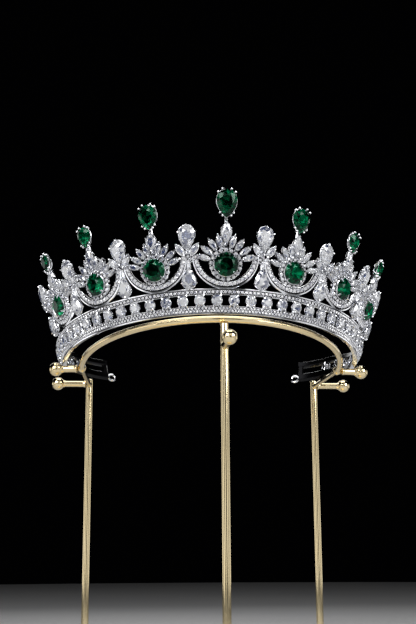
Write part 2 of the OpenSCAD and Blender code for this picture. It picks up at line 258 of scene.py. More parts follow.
def is_middle(i):
    """Whether a spacer stands beside the middle motif."""
    return abs(i - MIDDLE_OF_SPACERS) < 1


def pear_h(i):
    """Height of the upper pear's middle."""
    return UPPER_PEAR_H if is_middle(i) else OUTER_PEAR_H


# Outlines: each takes angles in radians and gives the points, counterclockwise


def round_outline(width):
    """A circle."""
    return lambda t: np.stack([np.cos(t), np.sin(t)], axis=-1) * width / 2


def pear_outline(width, height, point_up=False, narrowing=1.0):
    """A teardrop with its point down; a lower narrowing makes it fuller towards the point."""
    turn = -1 if point_up else 1
    widest = math.acos(math.sqrt(1 / (2 + narrowing)))
    peak = math.sin(2 * widest) * math.sin(widest) ** narrowing

    def outline(t):
        around = np.mod(np.asarray(t) + np.pi / 2, 2 * np.pi)
        x = width / 2 / peak * np.sin(around) * np.sin(around / 2) ** narrowing
        return np.stack([turn * x, turn * -height / 2 * np.cos(around)], axis=-1)
    return outline


LEAF_FULLNESS = 0.85


def leaf_outline(width, length):
    """A boat shape with a point at each end."""

    def outline(t):
        t = np.asarray(t, float)
        along = np.sin(t)
        bend = np.abs(along) ** LEAF_FULLNESS * np.sign(along)
        return np.stack([np.sign(np.cos(t)) * width / 2 * (1 - bend ** 2), length / 2 * bend], axis=-1)
    return outline


def unit(vector):
    """The vector's direction, with length one."""
    return vector / np.linalg.norm(vector)


def outward_normals(points):
    """Unit vectors that point out of a closed outline at each of its corners."""
    edge = np.roll(points, -1, axis=0) - np.roll(points, 1, axis=0)
    normal = np.stack([edge[:, 1], -edge[:, 0]], axis=-1)
    normal /= np.linalg.norm(normal, axis=1, keepdims=True) + 1e-9
    return normal * np.where(np.sum(normal * points, axis=1).mean() < 0, -1, 1)


def edge_point(outline, angle, step=0.05):
    """The point of an outline at an angle in radians, and the unit vector that leads out of it there."""
    near = outline(np.array([angle - step, angle, angle + step]))
    edge = near[2] - near[0]
    normal = np.array([edge[1], -edge[0]]) / (np.linalg.norm(edge) + 1e-9)
    return near[1], -normal if normal.dot(near[1]) < 0 else normal


# Mesh building


def new_object(name, data):
    """An object of the scene that holds the data."""
    obj = bpy.data.objects.new(name, data)
    bpy.context.scene.collection.objects.link(obj)
    return obj


# Runs longer than the first value get points at the second one from their ends
LONG_RUN, HOLD = 3.0, 0.3
# The rounding of a wire's ends: its reach, and the radius there, as shares of the wire's radius
END_REACH, END_TAPER = 0.6, 0.45
# A bar's section, as shares of half its width and depth, and the same of its end, with the end's length
BAR_SECTION = ((1, -0.6), (1, 0.6), (0.7, 1), (-0.7, 1), (-1, 0.6), (-1, -0.6), (-0.7, -1), (0.7, -1))
BAR_END_SHARE, BAR_END = 0.7, 0.15


class Shape:
    """Corners and faces of one piece, gathered part by part."""

    def __init__(self):
        self.corners, self.faces, self.shades, self.count = [], [], [], 0

    def add(self, corners, faces, matrix=None, shades=None):
        """Adds a solid; shades gives each face the number of its material, else all take the first."""
        corners = np.asarray(corners, float)
        if matrix is not None:
            corners = corners @ matrix[:3, :3].T + matrix[:3, 3]
        self.corners.append(corners)
        self.faces.extend(tuple(c + self.count for c in face) for face in faces)
        self.shades.extend(shades or [0] * len(faces))
        self.count += len(corners)

    def add_copies(self, solid, matrices):
        """Adds one solid at each of the places."""
        for matrix in matrices:
            self.add(solid[0], solid[1], matrix)

    def piece(self, name, materials, nodes=(), smooth=None):
        """Makes the mesh object; smooth is the angle in degrees under which edges are shaded round."""
        mesh = bpy.data.meshes.new(name)
        mesh.from_pydata((np.concatenate(self.corners) * MM).tolist(), [], self.faces)
        for material in materials:
            mesh.materials.append(material)
        mesh.polygons.foreach_set("material_index", self.shades)
        if smooth is not None:
            mesh.shade_smooth()
            mesh.set_sharp_from_angle(angle=math.radians(smooth))
        mesh.validate()
        obj = new_object(name, mesh)
        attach(obj, "root")
        if nodes:
            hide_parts(*nodes)


def steps_round(count):
    """Angles of equal steps once round, in radians."""
    return np.arange(count) / count * 2 * np.pi


def at_level(points, z):
    """Flat points lifted to one height."""
    return np.column_stack([points, np.full(len(points), z)])


def circle(radius, z, sides):
    """Corners of a level circle; the radius may be an array with a value for each corner."""
    t = steps_round(sides)
    return at_level(np.column_stack([radius * np.cos(t), radius * np.sin(t)]), z)


def ring_faces(rings, sides, closed_path=False):
    """Quads between successive rings of corners."""
    faces = []
    for r in range(rings if closed_path else rings - 1):
        a, b = r * sides, (r + 1) % rings * sides
        for i in range(sides):
            j = (i + 1) % sides
            faces.append((a + i, a + j, b + j, b + i))
    return faces


def loft(rings, closed_path=False):
    """Solid through rings of equal length, as corners and faces."""
    rings = np.asarray(rings, float)
    count, sides = rings.shape[:2]
    faces = ring_faces(count, sides, closed_path)
    if not closed_path:
        faces.append(tuple(range(sides - 1, -1, -1)))
        faces.append(tuple(range((count - 1) * sides, count * sides)))
    return rings.reshape(-1, 3), faces


def profile_shades(rings, sides, painted_shade_sides):
    """Material numbers of a loft's faces, where the listed sides of its profile take the painted-shade
    metal.
    """
    row = [int(i in painted_shade_sides) for i in range(sides)]
    return row * (rings - 1) + [0, 0]


def held_profile(profile):
    """Adds a point near both ends of each long run, which keeps the run's smooth shading straight."""
    profile = np.array(profile, float)
    points = [profile[0]]
    for point in profile[1:]:
        step = point - points[-1]
        run = np.linalg.norm(step)
        if run > LONG_RUN:
            points += [points[-1] + step * HOLD / run, point - step * HOLD / run]
        points.append(point)
    return points


def lathe(profile, sides=48):
    """Turned solid; profile holds (radius, z) from the bottom up."""
    return loft([circle(r, z, sides) for r, z in held_profile(profile)])


def aimed(start, end):
    """Matrix of a piece that stands at start with its z axis towards end."""
    along = unit(np.subtract(end, start))
    side = np.array([1.0, 0, 0]) if abs(along[2]) > 0.9 else unit(np.cross((0, 0, 1.0), along))
    spot = np.eye(4)
    spot[:3, 0], spot[:3, 1], spot[:3, 2], spot[:3, 3] = side, np.cross(along, side), along, start
    return spot


def tube(path, radii, sides=8, closed=False):
    """Round wire along a path; its ends are rounded where it is open."""
    path = np.asarray(path, float)
    radii = np.broadcast_to(radii, len(path)).astype(float)
    if closed:
        along = np.roll(path, -1, axis=0) - np.roll(path, 1, axis=0)
    else:
        first, last = unit(path[1] - path[0]), unit(path[-1] - path[-2])
        start, end = path[0] - first * radii[0] * END_REACH, path[-1] + last * radii[-1] * END_REACH
        path = np.vstack([start, path, end])
        radii = np.concatenate([[radii[0] * END_TAPER], radii, [radii[-1] * END_TAPER]])
        along = np.gradient(path, axis=0)
    along /= np.linalg.norm(along, axis=1, keepdims=True)
    side = np.cross(along[0], (0.0, 0.0, 1.0))
    if np.linalg.norm(side) < 0.1:
        side = np.cross(along[0], (0.0, 1.0, 0.0))
    t = steps_round(sides)
    rings = []
    for centre, tangent, radius in zip(path, along, radii):
        side = unit(side - tangent * side.dot(tangent))
        up = np.cross(tangent, side)
        rings.append(centre + radius * (np.outer(np.cos(t), side) + np.outer(np.sin(t), up)))
    return loft(rings, closed_path=closed)


def ball(radius, sides, bands):
    """Sphere round the origin."""
    polar = np.linspace(-np.pi / 2, np.pi / 2, bands + 2)[1:-1]
    rings = [circle(radius * math.cos(p), radius * math.sin(p), sides) for p in polar]
    corners = np.vstack([*rings, [(0, 0, -radius), (0, 0, radius)]])
    faces = ring_faces(bands, sides)
    low, high, last = bands * sides, bands * sides + 1, (bands - 1) * sides
    faces += [(low, (i + 1) % sides, i) for i in range(sides)]
    faces += [(high, last + i, last + (i + 1) % sides) for i in range(sides)]
    return corners, faces


def brilliant(outline, width, mains=8):
    """Cut stone with table, star, kite and half facets; its girdle's lower edge is at z = 0."""
    crown, pavilion, half = CROWN_SHARE * width, PAVILION_SHARE * width, np.pi / mains
    slant = math.cos(half)
    star_r = (TABLE_SHARE * slant + 1) / 2
    star_z = crown * (1 - star_r * slant) / (1 - TABLE_SHARE)
    main_t = np.arange(mains) * 2 * half
    between_t = main_t + half
    edge = outline(np.arange(2 * mains) * half)
    corners = np.vstack([
        at_level(outline(main_t) * TABLE_SHARE, GIRDLE + crown),
        at_level(outline(between_t) * star_r, GIRDLE + star_z),
        at_level(edge, GIRDLE),
        at_level(edge, 0.0),
        at_level(outline(between_t) * LOWER_SHARE, -pavilion * (1 - LOWER_SHARE * slant)),
        [(0, 0, -pavilion)]])
    star, top, base, low, culet = mains, 2 * mains, 4 * mains, 6 * mains, 7 * mains
    faces = [tuple(range(mains))]
    for k in range(mains):
        n, before = (k + 1) % mains, (k - 1) % mains
        e, f, g = 2 * k, 2 * k + 1, (2 * k + 2) % (2 * mains)
        faces += [(k, star + k, n), (k, top + e, star + k), (k, star + before, top + e),
                  (star + k, top + e, top + f), (star + k, top + f, top + g),
                  (top + e, base + e, base + f, top + f), (top + f, base + f, base + g, top + g),
                  (low + k, base + f, base + e), (low + k, base + g, base + f),
                  (culet, low + k, base + e), (culet, base + e, low + before)]
    return corners, faces


def seed_stone(sides=8):
    """Small round stone of diameter 1 with a single cut."""
    return loft([circle(r, z, sides) for r, z in ((0.08, -0.36), (0.5, 0.0), (0.22, 0.2))])


SEED = seed_stone()
BEAD = ball(1.0, 7, 3)


def setting(outline, levels, corners):
    """Closed wall round an outline; levels holds (offset outward, z) from its outer top to its inner top."""
    points = outline(steps_round(corners))
    normal = outward_normals(points)
    return loft([at_level(points + normal * off, z) for off, z in levels], closed_path=True)


def claw(spot, normal, foot_share, foot_z, radius, reach, top):
    """Bent prong from behind the stone, past its girdle and over its edge."""
    steps = [(spot * foot_share, foot_z), (spot + normal * radius * 0.9, -0.3),
             (spot + normal * radius * 0.8, 0.3), (spot + normal * (radius * 0.3), top * 0.85),
             (spot - normal * reach, top)]
    path = [(*point, z) for point, z in steps]
    return tube(path, np.array([0.75, 1.0, 1.05, 1.0, 0.75]) * radius, 6)


def add_claws(shape, matrix, outline, sets):
    """Sets of claws; each set holds angles of the outline in degrees, then the measures of a claw."""
    for angles, *measures in sets:
        for t in np.radians(angles):
            shape.add(*claw(*edge_point(outline, t), *measures), matrix)


def add_loops(shape, matrix, outline, loops):
    """Wires bent to an outline; each loop holds its share of the outline, z, radius and corners."""
    for share, z, radius, corners in loops:
        points = outline(steps_round(corners)) * share
        shape.add(*tube(at_level(points, z), radius, 7, closed=True), matrix)


def bar(start, end, width, depth_low, depth_high, taper=1.0):
    """Bar with rounded edges between two points of a flat piece's own plane."""
    start, end = np.asarray(start, float), np.asarray(end, float)
    along = unit(end - start)
    across = np.array([-along[1], along[0]])
    middle, half_depth, half = (depth_low + depth_high) / 2, (depth_high - depth_low) / 2, width / 2
    stations = ((start, BAR_END_SHARE), (start + along * BAR_END, 1.0),
                (end - along * BAR_END, taper), (end, BAR_END_SHARE * taper))
    return loft([[(*(point + across * x * half * share), middle + z * half_depth * share)
                  for x, z in BAR_SECTION] for point, share in stations])


# Band

# Sections of the two rails, as (height up the lean, distance out of the front), round from the lower back
BED = -0.3
UPPER_FOOT = BAND_HEIGHT - UPPER_RAIL
UPPER_PROFILE = (
    (UPPER_FOOT, -1.9), (UPPER_FOOT, -0.2), (UPPER_FOOT + 0.1, 0), (UPPER_FOOT + 0.26, 0),
    (UPPER_FOOT + 0.3, BED), (BAND_HEIGHT - 0.58, BED), (BAND_HEIGHT - 0.54, 0.1), (BAND_HEIGHT - 0.12, 0.1),
    (BAND_HEIGHT, -0.05), (BAND_HEIGHT, -2.0), (BAND_HEIGHT - 0.2, -RAIL_DEPTH),
    (UPPER_FOOT + 0.3, -RAIL_DEPTH))
LOWER_PROFILE = (
    (0, -2.0), (0, -0.05), (0.14, 0.12), (0.6, 0.12), (0.66, BED), (LOWER_RAIL - 0.28, BED),
    (LOWER_RAIL - 0.24, 0), (LOWER_RAIL - 0.1, 0), (LOWER_RAIL, -0.15), (LOWER_RAIL, -1.9),
    (LOWER_RAIL - 0.3, -RAIL_DEPTH), (0.2, -RAIL_DEPTH))
# Sides of these sections that take painted shade, and the base line position from which the last two sets
# take it
BED_SIDES = (3, 4, 5)
BACK_SIDES, BACK_DARK_FROM = (9, 10, 11), 92
EDGE_SIDES, EDGES_DARK_FROM = (0, 1), 112
RAIL_STATIONS = np.linspace(-HALF_LENGTH, HALF_LENGTH, 301)
# Prongs of a band stone: tip, and the foot's side position and depth in the rail
PRONG_TIP, PRONG_FOOT_X, PRONG_FOOT_IN = (1.5, 1.95), 1.75, 0.35
LOOP_D, LOOP_OUT, LOOP_DROP = 3.65, 2, 2.4
BAND_LOOPS, END_LOOPS = ((0.74, -1.25, 0.3, 20),), ((1.0, 0, 0.5, 28),)
# Bars are given by width, lowest and highest z, and taper
BAND_BAR, END_BAR = (1.5, -2.3, -1.75), (2.3, -0.95, 0.95)


def band_stone_places():
    """Places of the round stones in the band."""
    for side in (-1, 1):
        for i in range(BAND_STONES_A_SIDE):
            yield place(side * (i + 0.5) * BAND_STONE_PITCH, BAND_MIDDLE, BAND_STONE_OUT)


def add_rail(shape, profile):
    """A rail whose stone bed takes painted shade; towards the rear ends its back and lower edge take painted
    shade too.
    """
    rings = [[surface(u, h, d) for h, d in profile] for u in RAIL_STATIONS]
    shades = profile_shades(len(rings), len(profile), BED_SIDES)
    for sides, start in ((BACK_SIDES, BACK_DARK_FROM), (EDGE_SIDES, EDGES_DARK_FROM)):
        for k in np.flatnonzero(np.abs(RAIL_STATIONS[:-1]) > start):
            for side in sides:
                shades[k * len(profile) + side] = 1
    shape.add(*loft(rings), shades=shades)


def add_band_setting(shape, matrix):
    """Open cup of a band stone: ring, bar behind and two prongs on each rail."""
    outline = round_outline(BAND_STONE_D)
    reach = (BAND_HEIGHT - UPPER_RAIL - LOWER_RAIL) / 2
    add_loops(shape, matrix, outline, BAND_LOOPS)
    shape.add(*bar((0, -reach - 0.8), (0, reach + 0.8), *BAND_BAR), matrix)
    for x in (-1, 1):
        for y in (-1, 1):
            tip = np.array([x, y]) * PRONG_TIP
            foot = np.array([x * PRONG_FOOT_X, y * (reach + PRONG_FOOT_IN)])
            path = [(*foot, -0.9), (*foot, -0.1), (*(tip * 1.02), 0.42), (*(tip * 0.84), 0.6)]
            shape.add(*tube(path, [0.34, 0.36, 0.36, 0.26], 7), matrix)


def add_band_end(shape, side):
    """Closed end of the band, with its loop for a ribbon or pin."""
    end = place(side * (HALF_LENGTH - 1.1), BAND_MIDDLE, -RAIL_DEPTH / 2)
    half = BAND_HEIGHT / 2 - 0.25
    solid = bar((0, -half), (0, half), *END_BAR)
    # The end bar takes the nearly black metal all over, as painted shade; the loop stays bright.
    shape.add(*solid, end, [1] * len(solid[1]))
    loop = place(side * HALF_LENGTH, LOWER_RAIL - LOOP_DROP, -RAIL_DEPTH / 2) @ moved(side * LOOP_OUT)
    add_loops(shape, loop, round_outline(LOOP_D), END_LOOPS)


def band_metal(metals):
    """The pierced band without its stones."""
    shape = Shape()
    add_rail(shape, UPPER_PROFILE)
    add_rail(shape, LOWER_PROFILE)
    for matrix in band_stone_places():
        add_band_setting(shape, matrix)
    for side in (-1, 1):
        add_band_end(shape, side)
    shape.piece("band_rails", metals, ["tiara_frame"], smooth=38)


# Rows of seed stones: each row is a list of (matrix at the bed, stone diameter)

UPPER_SEED_D, UPPER_SEED_PITCH, UPPER_ROW_H = 1.42, 1.72, BAND_HEIGHT - 1.5
LOWER_SEED_D, LOWER_SEED_PITCH, LOWER_ROWS_H = 1.2, 1.48, (1.36, 2.56)
ROW_END = 2.4
HALO_STONES, HALO_SEED_D, HALO_BED = 17, 1.66, -0.15
CRESCENT_STONES, CRESCENT_SPAN, CRESCENT_BED = 21, 84, -0.35
# The crescent's row lies at this share of the way from its outer to its inner edge
CRESCENT_ROW, CRESCENT_SEED_D, CRESCENT_FILL = 0.6, 1.8, 0.62
KNOT_STONES, KNOT_SEED_D, KNOT_BED = ((-1.2, -0.5), (1.2, -0.5), (0, -1.5), (0, 0.6)), 1.3, -0.2
# Height above the knot's middle and diameter of each stone on the stem
STEM_STONES, STEM_BED = ((2.1, 1.15), (3.35, 1.03)), -0.3
# Height of the stones above their beds; a row is broken where two stones are further apart than the gap
SEED_LIFT, ROW_GAP = 0.3, 3
BEAD_SHARE, BEAD_SIDE, BEAD_LIFT = 0.16, 0.4, SEED_LIFT + 0.02


def rail_row(h, diameter, pitch, start=0.0):
    """A row along a rail."""
    count = int((HALF_LENGTH - ROW_END - start) / pitch)
    for k in range(-count, count + 1):
        yield place(k * pitch + start, h, BED), diameter


def halo_row(i):
    """The ring of stones round a green one."""
    share = motif_share(i)
    radius = (EMERALD_D / 2 + HALO_R) / 2 * share
    spot = motif_place(i)
    for k in range(HALO_STONES):
        a = (k + 0.5) / HALO_STONES * 2 * math.pi
        yield spot @ moved(radius * math.sin(a), -radius * math.cos(a), HALO_BED), HALO_SEED_D * share


def crescent_point(a, t):
    """Side position and height on a crescent, at angle a from its lowest point and share t of its width."""
    outer = np.array([CRESCENT_R * np.sin(a), CRESCENT_H - CRESCENT_R * np.cos(a)])
    inner_middle = CRESCENT_H + CRESCENT_LIFT
    inner = np.array([CRESCENT_INNER_R * np.sin(a), inner_middle - CRESCENT_INNER_R * np.cos(a)])
    return outer + (inner - outer) * t


def crescent_row(i):
    """The curved row of a crescent, its stones smaller where it narrows."""
    for k in range(CRESCENT_STONES):
        a = math.radians(-CRESCENT_SPAN + 2 * CRESCENT_SPAN * k / (CRESCENT_STONES - 1))
        x, h = crescent_point(a, CRESCENT_ROW)
        x_in, h_in = crescent_point(a, 1.0)
        width = math.hypot(x_in - x, h_in - h) / (1 - CRESCENT_ROW)
        spot = place(beside(motif_u(i), x, h), h, CRESCENT_BED, -math.degrees(a))
        yield spot, min(CRESCENT_SEED_D, width * CRESCENT_FILL)


def junction_row(i):
    """Four stones on the knot where two crescents meet, then two up the stem."""
    spot = place(spacer_u(i), JUNCTION_H)
    for x, y in KNOT_STONES:
        yield spot @ moved(x, y, KNOT_BED), KNOT_SEED_D
    for lift, diameter in STEM_STONES:
        yield place(spacer_u(i), JUNCTION_H + lift, STEM_BED), diameter


def seed_rows():
    """All rows of the crown, from the band up."""
    yield list(rail_row(UPPER_ROW_H, UPPER_SEED_D, UPPER_SEED_PITCH))
    yield list(rail_row(LOWER_ROWS_H[0], LOWER_SEED_D, LOWER_SEED_PITCH))
    yield list(rail_row(LOWER_ROWS_H[1], LOWER_SEED_D * 0.94, LOWER_SEED_PITCH, LOWER_SEED_PITCH / 2))
    for i in MOTIFS:
        yield list(halo_row(i))
        yield list(crescent_row(i))
    for i in SPACERS:
        yield list(junction_row(i))


def seed_stones(gem):
    """The pave stones of all rows, as one piece."""
    shape = Shape()
    for row in seed_rows():
        for matrix, diameter in row:
            shape.add(*SEED, matrix @ moved(0, 0, SEED_LIFT) @ np.diag([diameter] * 3 + [1]))
    shape.piece("seed_stones", [gem])


def seed_beads(metal):
    """Two raised beads of metal between each stone and the next."""
    shape = Shape()
    for row in seed_rows():
        for (a, size_a), (b, size_b) in zip(row, row[1:]):
            step = b[:3, 3] - a[:3, 3]
            if np.linalg.norm(step) > ROW_GAP:
                continue
            normal = a[:3, 2]
            across = np.cross(normal, unit(step))
            middle = (a[:3, 3] + b[:3, 3]) / 2
            size = (size_a + size_b) / 2
            for side in (-1, 1):
                spot = np.eye(4)
                spot[:3, :3] = a[:3, :3] * size * BEAD_SHARE
                spot[:3, 3] = middle + across * side * size * BEAD_SIDE + normal * BEAD_LIFT
                shape.add(*BEAD, spot)
    shape.piece("seed_beads", [metal], smooth=60)


# Motifs

# Section of a crescent, as (share of the way from its outer to its inner edge, distance out of the front)
CRESCENT_PROFILE = ((0.3, -1.5), (0, -0.45), (0, 0.0), (0.04, 0.16), (0.2, 0.16), (0.22, CRESCENT_BED),
                    (0.94, CRESCENT_BED), (0.95, 0.02), (1, 0), (1, -0.5), (0.86, -1.5))
# Sides of the crescent's section that take painted shade: its outer lower slope and its bed
CRESCENT_DARK_SIDES = (0, 5)
CRESCENT_STATIONS = np.radians(np.linspace(-87, 87, 61))
# The scallop's depth, and the levels of the halo's section whose faces take painted shade: its bed and walls
SCALLOP, HALO_DARK_LEVELS = 0.38, (4, 5, 6)
# Walls of the settings, as (distance out of the stone's outline, z)
LEAF_WALL = ((0.2, 0.0), (0.2, -0.35), (-0.25, -1.5), (-0.5, -1.5), (-0.12, -0.1), (0.0, 0.0))
TOP_WALL = ((0.22, -0.02), (0.22, -0.4), (-0.4, -1.9), (-0.7, -1.9), (-0.15, -0.15), (0.0, -0.02))
# Sets of claws: angles, share of the outline and z at the foot, radius, reach over the stone, z of the tip
ROUND_CLAWS = (((45, 135, 225, 315), 1.05, -1.2, 0.4, 0.7, 1.0),)
LEAF_CLAWS = (((90, 270), 0.95, -0.6, 0.3, 0.5, 0.5), ((38, 142, 218, 322), 0.9, -0.5, 0.17, 0.18, 0.4))
TOP_CLAWS = (((90, 270), 0.96, -0.8, 0.42, 0.6, 0.75), ((20, 160, 200, 340), 0.9, -0.8, 0.27, 0.4, 0.62))
# The drop's loops, and its prongs: angles both ways from its point, ball radius, distance out of the stone
DROP_LOOPS = ((0.97, -0.36, 0.24, 44), (0.56, -2.1, 0.3, 36))
DROP_PRONGS, PRONG_BALL_R, PRONG_OUT = (36, 53, 138, 160), 0.5, 0.5
LEAF_BAR, TOP_BAR, DROP_BAR = (0.95, -2.35, -1.35), (1.7, -1.6, 0.0), (1.5, -1.6, -0.3, 0.7)


def add_halo(shape, i):
    """Ring round the green stone, its edge scalloped to the seed stones and its bed in painted shade."""
    share, sides = motif_share(i), HALO_STONES * 6
    wave = 0.5 + 0.5 * np.cos((steps_round(sides) + np.pi / 2) * HALO_STONES + np.pi)
    inner = EMERALD_D / 2 * share
    outer = HALO_R * share - SCALLOP * (1 - wave)
    levels = ((outer - 0.25, -ORNAMENT_DEPTH), (outer, -1.2), (outer, -0.05), (outer - 0.14, 0.12),
              (outer - 0.28, 0.12), (outer - 0.32, HALO_BED), (inner + 0.16, HALO_BED), (inner + 0.1, 0.5),
              (inner - 0.1, 0.66), (inner - 0.35, 0.5), (inner - 0.7, -1.0), (inner - 0.5, -ORNAMENT_DEPTH))
    rings = [circle(r, z, sides) for r, z in levels]
    shades = [int(r in HALO_DARK_LEVELS) for r in range(len(levels)) for _ in range(sides)]
    shape.add(*loft(rings, closed_path=True), motif_place(i), shades)


def add_crescent(shape, i):
    """Hanging crescent under a motif, with painted shade on its bed for its row of stones and on its outer
    lower slope.
    """
    rings = []
    for a in CRESCENT_STATIONS:
        spots = [(*crescent_point(a, t), d) for t, d in CRESCENT_PROFILE]
        rings.append([surface(beside(motif_u(i), x, h), h, d) for x, h, d in spots])
    shades = profile_shades(len(rings), len(CRESCENT_PROFILE), CRESCENT_DARK_SIDES)
    shape.add(*loft(rings), shades=shades)


def add_leaf_setting(shape, matrix, share, inner_end):
    """Boat-shaped cup with a claw at each point, on a bar from its inner end."""
    outline = leaf_outline(LEAF_WIDTH * share, LEAF_LENGTH * share)
    shape.add(*setting(outline, LEAF_WALL, 20), matrix)
    add_claws(shape, matrix, outline, LEAF_CLAWS)
    shape.add(*bar((0, inner_end), (0, LEAF_LENGTH * 0.36 * share), *LEAF_BAR), matrix)


def fan_leaf_places(i):
    """Places of the eight leaf stones round a motif."""
    for angle in FAN_ANGLES:
        for side in (-1, 1):
            yield motif_place(i, LEAF_OUT, side * angle) @ moved(0, FAN_REACH * motif_share(i))


def spacer_leaf_places(i):
    """Places of the two leaf stones beside the tip of a spacer's upper pear."""
    drop = SPACER_LEAF_DROP if is_middle(i) else OUTER_LEAF_DROP
    spot = place(spacer_u(i), pear_h(i) - drop, SPACER_LEAF_OUT)
    for side in (-1, 1):
        yield spot @ moved(side * SPACER_LEAF_OFFSET) @ lean_matrix(side * SPACER_LEAF_LEAN)


def top_stone(i):
    """Outline and place of the pointed stone above a motif."""
    spot = motif_place(i) @ moved(0, top_rise(i), TOP_OUT)
    return leaf_outline(TOP_WIDTH, TOP_LENGTH * top_share(i)), spot


def drop_stone(i):
    """Outline and place of the green drop above a motif."""
    spot = place(motif_u(i), DROP_MIDDLES[rank(i)], PEAR_OUT)
    return pear_outline(*drop_size(i), narrowing=DROP_NARROWING), spot


def add_top_setting(shape, i):
    """Cup of the pointed stone, with six claws."""
    outline, spot = top_stone(i)
    shape.add(*setting(outline, TOP_WALL, 28), spot)
    add_claws(shape, spot, outline, TOP_CLAWS)


def add_drop_setting(shape, i):
    """Open basket of two wire loops with four pairs of ball-tipped prongs."""
    outline, spot = drop_stone(i)
    add_loops(shape, spot, outline, DROP_LOOPS)
    tip = ball(PRONG_BALL_R, 12, 7)
    for side in (-1, 1):
        for t in DROP_PRONGS:
            edge, normal = edge_point(outline, np.radians(side * t - 90), 0.03)
            out = edge + normal * PRONG_OUT
            path = [(*(edge * 0.56), -2.1), (*(edge * 0.9), -1.2), (*out, -0.3), (*out, 0.2)]
            shape.add(*tube(path, [0.24, 0.24, 0.26, 0.26], 7), spot)
            shape.add(*tip, spot @ moved(*(edge + normal * 0.42), 0.45))


def add_stems(shape, i):
    """Short stems from the ring to the pointed stone, and from there to the drop."""
    spot, share = motif_place(i), motif_share(i)
    top_half = TOP_LENGTH / 2 * top_share(i)
    shape.add(*bar((0, EMERALD_D / 2 * share + 1.4), (0, top_rise(i) - top_half + 1.2), *TOP_BAR), spot)
    drop_tip = DROP_MIDDLES[rank(i)] - drop_size(i)[1] / 2 - motif_h(i)
    low, high = top_rise(i) + top_half - 1.4, drop_tip + 0.6
    shape.add(*bar((0, low), (0, high), *DROP_BAR), spot)
    path = [(0, high - 1.6, -0.7), (0, high - 0.4, -0.5), (0, drop_tip + 0.5, -0.4)]
    shape.add(*tube(path, [0.5, 0.42, 0.36]), spot)


def motif_metal(metals):
    """The metal of the seven motifs."""
    shape = Shape()
    for i in MOTIFS:
        add_halo(shape, i)
        add_crescent(shape, i)
        add_stems(shape, i)
        add_top_setting(shape, i)
        add_drop_setting(shape, i)
        share = motif_share(i)
        stone = round_outline(EMERALD_D * share)
        spot = motif_place(i, EMERALD_OUT)
        add_claws(shape, spot, stone, ROUND_CLAWS)
        for matrix in fan_leaf_places(i):
            add_leaf_setting(shape, matrix, share, HALO_R * share - 0.5 - FAN_REACH * share)
    shape.piece("motif_mounts", metals, ["tiara_frame"], smooth=38)


# Spacers

# The knot's corners, and its levels as (share of its size, z)
KNOT = ((2.5, 0.3), (1.3, 1.9), (-1.3, 1.9), (-2.5, 0.3), (-2.1, -1.6), (0, -2.6), (2.1, -1.6))
KNOT_LEVELS = ((0.86, -1.7), (1, -1.4), (1, -0.1), (0.94, 0.06), (0.88, 0.06), (0.86, -0.2))
UPPER_BAR, LOWER_BAR = (2.0, -1.65, -0.02, 0.62), (1.7, -1.6, -0.1)
PEAR_LOOPS = ((0.98, -0.4, 0.26, 40), (0.55, -2.05, 0.3, 32))
PEAR_CLAWS = (((28, 90, 152, 218, 270, 322), 0.57, -2.05, 0.32, 0.55, 0.8),)


def add_pear_setting(shape, matrix, outline):
    """Open basket: a wire under the girdle, a smaller one behind and claws between them."""
    add_loops(shape, matrix, outline, PEAR_LOOPS)
    add_claws(shape, matrix, outline, PEAR_CLAWS)


def add_junction(shape, i):
    """Knot where two crescents meet, with painted shade on its bed, and bars to the pears above and below
    it.
    """
    spot = place(spacer_u(i), JUNCTION_H)
    rings = [[(x * s, y * s, z) for x, y in KNOT] for s, z in KNOT_LEVELS]
    # The knot's bed and its wall take painted shade
    plain, dark = [0] * len(KNOT), [1] * len(KNOT)
    shape.add(*loft(rings), spot, plain * 4 + dark + [0, 1])
    upper_tip = pear_h(i) - UPPER_PEAR[1] / 2 - JUNCTION_H
    lower_tip = LOWER_PEAR_H + LOWER_PEAR[1] / 2 - JUNCTION_H
    shape.add(*bar((0, 1.5), (0, upper_tip + 1.2), *UPPER_BAR), spot)
    shape.add(*bar((0, lower_tip - 0.6), (0, -1.2), *LOWER_BAR), spot)


def pear_stones(i):
    """Outline, width and place of a spacer's upper pear, point down, and of its lower one, point up."""
    yield pear_outline(*UPPER_PEAR), UPPER_PEAR[0], place(spacer_u(i), pear_h(i), PEAR_OUT)
    yield pear_outline(*LOWER_PEAR, point_up=True), LOWER_PEAR[0], place(spacer_u(i), LOWER_PEAR_H, PEAR_OUT)


def spacer_metal(metals):
    """The metal of the eight spacers."""
    shape = Shape()
    for i in SPACERS:
        add_junction(shape, i)
        for outline, _, matrix in pear_stones(i):
            add_pear_setting(shape, matrix, outline)
        for matrix in spacer_leaf_places(i):
            add_leaf_setting(shape, matrix, 1.0, -LEAF_LENGTH * 0.7)
    shape.piece("spacer_mounts", metals, ["tiara_frame"], smooth=38)


# Stones


def stone_piece(name, solid, matrix, gem):
    """A cut stone in the place of the solid of its name."""
    shape = Shape()
    shape.add(*solid, matrix)
    shape.piece("cut_" + name, [gem], [name])


def single_stones(clear, green, deep):
    """The stones that are solids of their own; the middle round one is the darkest."""
    for i in MOTIFS:
        d = EMERALD_D * motif_share(i)
        spot = motif_place(i, EMERALD_OUT)
        stone_piece(f"round_emerald_{i}", brilliant(round_outline(d), d), spot,
                    green if rank(i) else deep)
        outline, spot = drop_stone(i)
        stone_piece(f"drop_emerald_{i}", brilliant(outline, drop_size(i)[0]), spot, green)
        outline, spot = top_stone(i)
        stone_piece(f"top_marquise_{i}", brilliant(outline, TOP_WIDTH), spot, clear)
    for i in SPACERS:
        for kind, (outline, width, spot) in zip(("upper", "lower"), pear_stones(i)):
            stone_piece(f"{kind}_pear_{i}", brilliant(outline, width), spot, clear)


